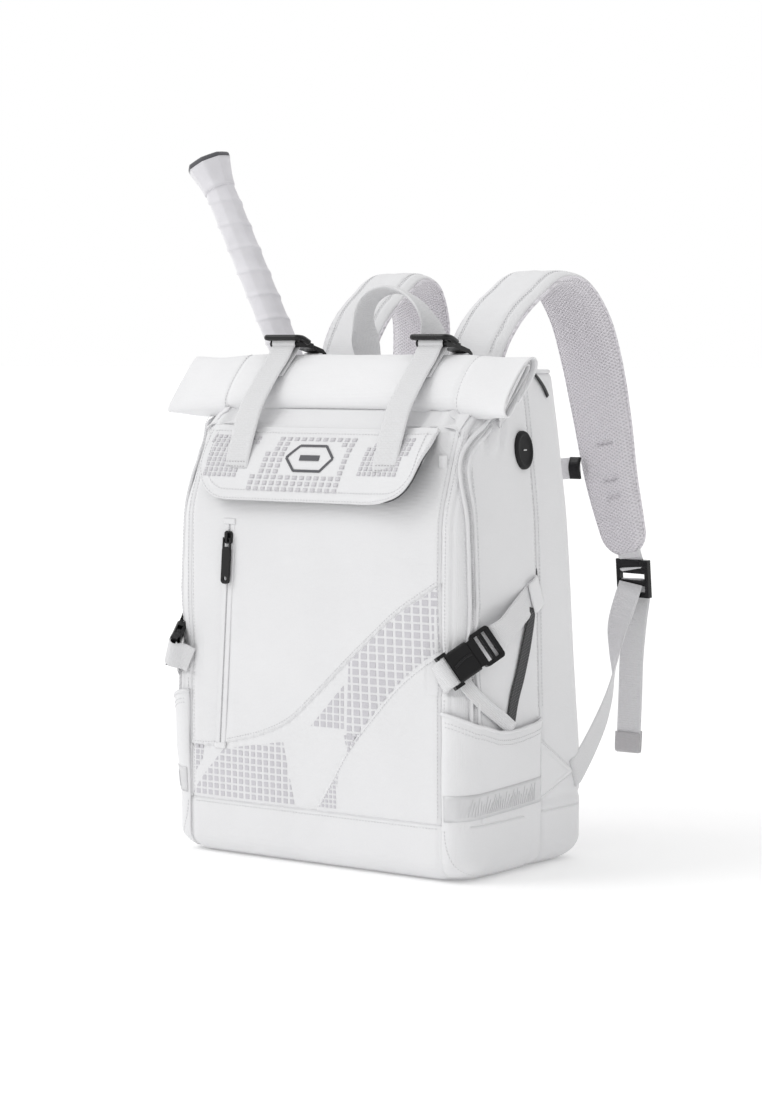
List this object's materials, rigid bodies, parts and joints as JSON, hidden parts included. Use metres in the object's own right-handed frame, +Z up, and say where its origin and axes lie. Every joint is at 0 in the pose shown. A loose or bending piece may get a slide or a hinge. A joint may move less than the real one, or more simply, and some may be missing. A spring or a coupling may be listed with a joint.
{
  "type": "racket backpack",
  "caption": "Roll-top racket backpack with front flap, side buckles, padded shoulder straps and a racket standing in its rear sleeve.",
  "frame": {"origin": "centre of the base's flat resting face", "axes": "+Z up, -Y out of the front panel, +X to the right seen from the front"},
  "size_m": [0.4024, 0.3277, 0.616],
  "materials": {
    "shell_fabric": "coated woven polyester, soft sheen",
    "inner_fabric": "plain woven lining",
    "lining_fabric": "dark woven lining",
    "air_mesh": "spacer mesh",
    "board": "matt sheet",
    "webbing": "ribbed polyester webbing",
    "zip_tape": "woven tape with nylon coil",
    "black_zip": "woven tape with nylon coil",
    "black_metal": "satin black paint",
    "black_plastic": "satin moulded acetal",
    "black_rubber": "matt rubber",
    "dark_trim": "embossed carbon-look tape",
    "reflective": "hatched reflective transfer",
    "racket_lacquer": "gloss lacquer over carbon",
    "strings": "nylon",
    "grip_wrap": "soft perforated wrap",
    "butt_cap": "satin, dark end"
  },
  "bodies": {
    "bag": {"back_cushions": "air_mesh", "back_panel": "air_mesh", "base_boot": "shell_fabric", "base_stiffener": "board", "buckle_sockets": "black_plastic", "cable_port": "black_rubber", "dark_trims": "dark_trim", "frame_sheet": "board", "front_gussets": "shell_fabric", "front_panel": "shell_fabric", "front_zip": "zip_tape", "hook_anchors": "webbing", "lower_webbings": "webbing", "pocket_divider": "inner_fabric", "rear_gussets": "shell_fabric", "rear_top_cover": "shell_fabric", "rear_zip": "black_zip", "reflective_strips": "reflective", "roll_neck": "shell_fabric", "roll_stiffener": "board", "roll_top": "shell_fabric", "side_panel_left": "shell_fabric", "side_panel_right": "shell_fabric", "side_pockets": "shell_fabric", "side_straps": "webbing", "side_zips": "zip_tape", "sleeve_divider": "inner_fabric", "socket_tabs": "webbing", "strap_wings": "shell_fabric"},
    "front_flap": {"front_flap": "shell_fabric", "flap_lining": "lining_fabric"},
    "roll_strap_right": {"roll_strap_right": "webbing"},
    "roll_strap_left": {"roll_strap_left": "webbing"},
    "roll_hook_right": {"roll_hook_right": "black_plastic"},
    "roll_hook_left": {"roll_hook_left": "black_plastic"},
    "front_zip_slider": {"front_zip_slider": "black_metal"},
    "front_zip_pull": {"front_zip_pull": "black_metal"},
    "rear_zip_slider": {"rear_zip_slider": "black_metal"},
    "side_zip_slider_right": {"side_zip_slider_right": "black_metal"},
    "side_zip_slider_left": {"side_zip_slider_left": "black_metal"},
    "buckle_plug_right": {"buckle_plug_right": "black_plastic"},
    "buckle_plug_left": {"buckle_plug_left": "black_plastic"},
    "prong_upper_right": {"buckle_prong_upper_right": "black_plastic"},
    "prong_lower_right": {"buckle_prong_lower_right": "black_plastic"},
    "prong_upper_left": {"buckle_prong_upper_left": "black_plastic"},
    "prong_lower_left": {"buckle_prong_lower_left": "black_plastic"},
    "shoulder_strap_right": {"shoulder_pad_right": "air_mesh", "ladder_lock_right": "black_plastic", "webbing_tail_right": "webbing", "sternum_strap_right": "webbing"},
    "shoulder_strap_left": {"shoulder_pad_left": "air_mesh", "ladder_lock_left": "black_plastic", "webbing_tail_left": "webbing", "sternum_strap_left": "webbing"},
    "haul_loop": {"haul_loop": "webbing"},
    "racket": {"racket_frame": "racket_lacquer", "racket_strings": "strings", "racket_shaft": "racket_lacquer", "racket_grip": "grip_wrap", "racket_butt_cap": "butt_cap"}
  },
  "joints": [
    {"name": "flap_lift", "type": "hinge", "parent": "bag", "child": "front_flap", "pos_m": [0, -0.0757, 0.3672], "axis": [-1, 0, 0], "range_deg": [0, 95]},
    {"name": "roll_strap_swing_right", "type": "hinge", "parent": "front_flap", "child": "roll_strap_right", "pos_m": [0.079, -0.0949, 0.3405], "axis": [1, 0, 0], "range_deg": [0, 152]},
    {"name": "roll_hook_tilt_right", "type": "hinge", "parent": "roll_strap_right", "child": "roll_hook_right", "pos_m": [0.079, -0.029, 0.4416], "axis": [1, 0, 0], "range_deg": [0, 55]},
    {"name": "roll_strap_swing_left", "type": "hinge", "parent": "front_flap", "child": "roll_strap_left", "pos_m": [-0.079, -0.0949, 0.3405], "axis": [1, 0, 0], "range_deg": [0, 152]},
    {"name": "roll_hook_tilt_left", "type": "hinge", "parent": "roll_strap_left", "child": "roll_hook_left", "pos_m": [-0.079, -0.029, 0.4416], "axis": [1, 0, 0], "range_deg": [0, 55]},
    {"name": "front_zip_open", "type": "slide", "parent": "bag", "child": "front_zip_slider", "axis": [-0.0644, 0, -0.9979], "range_m": [0, 0.165]},
    {"name": "front_zip_pull_lift", "type": "hinge", "parent": "front_zip_slider", "child": "front_zip_pull", "pos_m": [-0.08857, -0.0986, 0.27522], "axis": [-1, 0, 0], "range_deg": [0, 80]},
    {"name": "rear_zip_open", "type": "slide", "parent": "bag", "child": "rear_zip_slider", "axis": [1, 0, 0], "range_m": [0, 0.19]},
    {"name": "side_zip_open_right", "type": "slide", "parent": "bag", "child": "side_zip_slider_right", "axis": [-0.0468, 0.0182, 0.9987], "range_m": [0, 0.028]},
    {"name": "buckle_release_right", "type": "slide", "parent": "bag", "child": "buckle_plug_right", "axis": [0.3591, 0.7979, 0.4842], "range_m": [0, 0.008], "deforming": ["side_straps"]},
    {"name": "prong_squeeze_upper_right", "type": "hinge", "parent": "buckle_plug_right", "child": "prong_upper_right", "pos_m": [0.15289, -0.08435, 0.19642], "axis": [0.8021, -0.5291, 0.277], "range_deg": [0, 12.5]},
    {"name": "prong_squeeze_lower_right", "type": "hinge", "parent": "buckle_plug_right", "child": "prong_lower_right", "pos_m": [0.16205, -0.07881, 0.18048], "axis": [-0.8021, 0.5291, -0.277], "range_deg": [0, 12.5]},
    {"name": "shoulder_strap_swing_right", "type": "hinge", "parent": "bag", "child": "shoulder_strap_right", "pos_m": [0.07, 0.042, 0.422], "axis": [-1, 0, 0], "range_deg": [-10, 9], "deforming": ["lower_webbings"]},
    {"name": "side_zip_open_left", "type": "slide", "parent": "bag", "child": "side_zip_slider_left", "axis": [0.0468, 0.0182, 0.9987], "range_m": [0, 0.028]},
    {"name": "buckle_release_left", "type": "slide", "parent": "bag", "child": "buckle_plug_left", "axis": [-0.3591, 0.7979, 0.4842], "range_m": [0, 0.008], "deforming": ["side_straps"]},
    {"name": "prong_squeeze_upper_left", "type": "hinge", "parent": "buckle_plug_left", "child": "prong_upper_left", "pos_m": [-0.15289, -0.08435, 0.19642], "axis": [0.8021, 0.5291, -0.277], "range_deg": [0, 12.5]},
    {"name": "prong_squeeze_lower_left", "type": "hinge", "parent": "buckle_plug_left", "child": "prong_lower_left", "pos_m": [-0.16205, -0.07881, 0.18048], "axis": [-0.8021, -0.5291, 0.277], "range_deg": [0, 12.5]},
    {"name": "shoulder_strap_swing_left", "type": "hinge", "parent": "bag", "child": "shoulder_strap_left", "pos_m": [-0.07, 0.042, 0.422], "axis": [-1, 0, 0], "range_deg": [-10, 9], "deforming": ["lower_webbings"]},
    {"name": "haul_loop_fold", "type": "hinge", "parent": "bag", "child": "haul_loop", "pos_m": [0, 0.034, 0.4245], "axis": [-1, 0, 0], "range_deg": [-20, 10]},
    {"name": "racket_draw", "type": "slide", "parent": "bag", "child": "racket", "axis": [-0.4313, -0.0486, 0.9009], "range_m": [0, 0.12]}
  ],
  "couplings": [
    {"joint": "roll_strap_swing_right", "follows": "flap_lift", "ratio": 1.6},
    {"joint": "roll_strap_swing_left", "follows": "flap_lift", "ratio": 1.6},
    {"joint": "shoulder_strap_swing_left", "follows": "shoulder_strap_swing_right", "ratio": 1},
    {"joint": "prong_squeeze_upper_right", "follows": "buckle_release_right", "rad_per_m": 27},
    {"joint": "prong_squeeze_lower_right", "follows": "buckle_release_right", "rad_per_m": 27},
    {"joint": "prong_squeeze_upper_left", "follows": "buckle_release_left", "rad_per_m": 27},
    {"joint": "prong_squeeze_lower_left", "follows": "buckle_release_left", "rad_per_m": 27}
  ]
}
